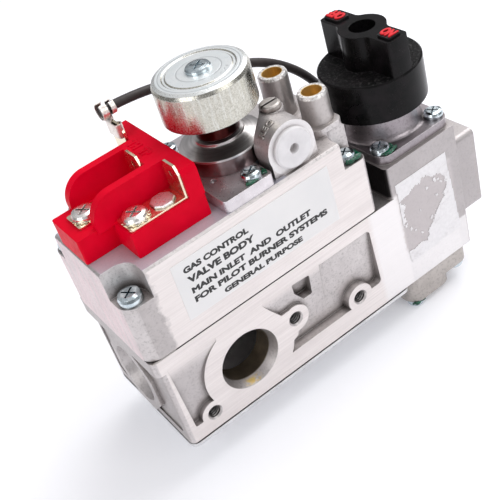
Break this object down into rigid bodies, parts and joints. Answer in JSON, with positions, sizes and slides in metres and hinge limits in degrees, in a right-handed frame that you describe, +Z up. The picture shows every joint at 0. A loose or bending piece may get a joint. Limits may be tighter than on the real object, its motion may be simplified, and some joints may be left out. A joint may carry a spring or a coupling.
{
  "type": "gas valve",
  "caption": "Millivolt combination gas valve: cast body with threaded ports, bolted head, push-and-turn knob, electric operator can, red terminal block, regulator and test nipples.",
  "frame": {"origin": "on the inlet port's axis, where its plain bore begins 3.5 mm inside the mouth", "axes": "+X out of the inlet port, +Y from the machined front face backwards, +Z up through the knob"},
  "size_m": [0.134, 0.0486, 0.1149],
  "materials": {
    "cast_aluminium": "as-cast, machined faces",
    "zinc_sheet": "zinc plated",
    "zinc_screws": "zinc plated",
    "turned_steel": "turned",
    "steel_spring": "drawn wire",
    "brass": "bright",
    "black_rubber": "satin",
    "gasket_paper": "matt",
    "black_plastic": "satin, textured",
    "red_plastic": "satin",
    "white_nylon": "satin",
    "coil_wire": "enamelled",
    "black_sleeve": "satin",
    "label_film": "printed film",
    "white_paper": "torn paper"
  },
  "bodies": {
    "housing": {"lower_body": "cast_aluminium", "bottom_plate": "zinc_sheet", "bottom_gasket": "gasket_paper", "bottom_screws": "zinc_screws", "bottom_cover": "cast_aluminium", "cover_screws": "zinc_screws", "inlet_screen": "turned_steel", "main_diaphragm": "black_rubber", "main_valve_spring": "steel_spring", "head_casting": "cast_aluminium", "head_screws": "zinc_screws", "regulator_spring": "steel_spring", "regulator_disc": "turned_steel", "operator_base": "cast_aluminium", "operator_base_screws": "zinc_screws", "operator_neck": "turned_steel", "pole_core": "turned_steel", "coil_bobbin": "white_nylon", "coil_winding": "coil_wire", "coil_can": "zinc_sheet", "can_screw": "zinc_screws", "armature_spring": "steel_spring", "bonnet_gasket": "gasket_paper", "bonnet": "cast_aluminium", "bonnet_screws": "zinc_screws", "plug_spring": "steel_spring", "knob_spring": "steel_spring", "safety_spring": "steel_spring", "safety_magnet": "turned_steel", "terminal_block": "red_plastic", "terminals": "brass", "terminal_rivets": "zinc_screws", "lead": "black_sleeve", "lead_connector": "zinc_sheet", "lead_gland": "brass", "front_label": "label_film", "paper_sticker": "white_paper"},
    "cock": {"cock_plug": "brass"},
    "knob": {"knob": "black_plastic", "knob_letter_pads": "black_plastic", "knob_screw": "zinc_screws", "cock_stem": "turned_steel", "stem_clip": "steel_spring"},
    "safety_valve": {"safety_valve": "turned_steel"},
    "main_valve": {"main_valve": "black_rubber", "main_valve_plate": "zinc_sheet"},
    "armature": {"armature": "turned_steel", "armature_seal": "black_rubber"},
    "regulator_cap": {"regulator_cap": "white_nylon"},
    "regulator_adjuster": {"regulator_adjuster": "white_nylon"},
    "vent_screw": {"vent_screw": "zinc_screws"},
    "nipple_screw_rear": {"nipple_screw_rear": "brass"},
    "nipple_screw_front": {"nipple_screw_front": "brass"},
    "terminal_screw_1": {"terminal_screw_1": "zinc_screws"},
    "terminal_screw_2": {"terminal_screw_2": "zinc_screws"},
    "terminal_screw_3": {"terminal_screw_3": "zinc_screws"}
  },
  "joints": [
    {"name": "knob_turn", "type": "hinge", "parent": "housing", "child": "cock", "pos_m": [-0.0216, 0, 0.015], "axis": [0, 0, 1], "range_deg": [0, 90]},
    {"name": "knob_push", "type": "slide", "parent": "cock", "child": "knob", "axis": [0, 0, -1], "range_m": [0, 0.004], "stiffness_N_per_m": 1200, "springref_m": -0.002, "deforming": ["knob_spring"]},
    {"name": "safety_lift", "type": "slide", "parent": "housing", "child": "safety_valve", "axis": [0, 0, -1], "range_m": [0, 0.004], "stiffness_N_per_m": 200, "springref_m": -0.004, "deforming": ["safety_spring"]},
    {"name": "main_valve_lift", "type": "slide", "parent": "housing", "child": "main_valve", "axis": [0, 0, 1], "range_m": [0, 0.0035], "stiffness_N_per_m": 150, "springref_m": -0.006, "deforming": ["main_valve_spring"]},
    {"name": "armature_lift", "type": "slide", "parent": "housing", "child": "armature", "axis": [0, 0, 1], "range_m": [0, 0.001], "stiffness_N_per_m": 300, "springref_m": -0.003, "deforming": ["armature_spring"]},
    {"name": "regulator_cap_unscrew", "type": "hinge", "parent": "housing", "child": "regulator_cap", "pos_m": [-0.0656, -0.016, 0.0495], "axis": [0, -1, 0], "range_deg": [0, 720]},
    {"name": "regulator_adjust", "type": "hinge", "parent": "housing", "child": "regulator_adjuster", "pos_m": [-0.0656, -0.012, 0.0495], "axis": [0, -1, 0], "range_deg": [-720, 720]},
    {"name": "vent_screw_turn", "type": "hinge", "parent": "housing", "child": "vent_screw", "pos_m": [-0.0629, -0.0054, 0.057], "axis": [0, 0, 1], "range_deg": [0, 720]},
    {"name": "nipple_rear_turn", "type": "hinge", "parent": "housing", "child": "nipple_screw_rear", "pos_m": [-0.0514, 0.0087, 0.053], "axis": [0, 0, 1], "range_deg": [0, 720]},
    {"name": "nipple_front_turn", "type": "hinge", "parent": "housing", "child": "nipple_screw_front", "pos_m": [-0.0477, -0.0048, 0.049], "axis": [0, 0, 1], "range_deg": [0, 720]},
    {"name": "terminal_1_turn", "type": "hinge", "parent": "housing", "child": "terminal_screw_1", "pos_m": [-0.1139, -0.00765, 0.052], "axis": [0, 0, 1], "range_deg": [0, 720]},
    {"name": "terminal_2_turn", "type": "hinge", "parent": "housing", "child": "terminal_screw_2", "pos_m": [-0.1229, 0.0068, 0.052], "axis": [0, 0, 1], "range_deg": [0, 720]},
    {"name": "terminal_3_turn", "type": "hinge", "parent": "housing", "child": "terminal_screw_3", "pos_m": [-0.1139, 0.02145, 0.052], "axis": [0, 0, 1], "range_deg": [0, 720]}
  ],
  "couplings": [
    {"joint": "safety_lift", "follows": "knob_push", "ratio": 1}
  ]
}
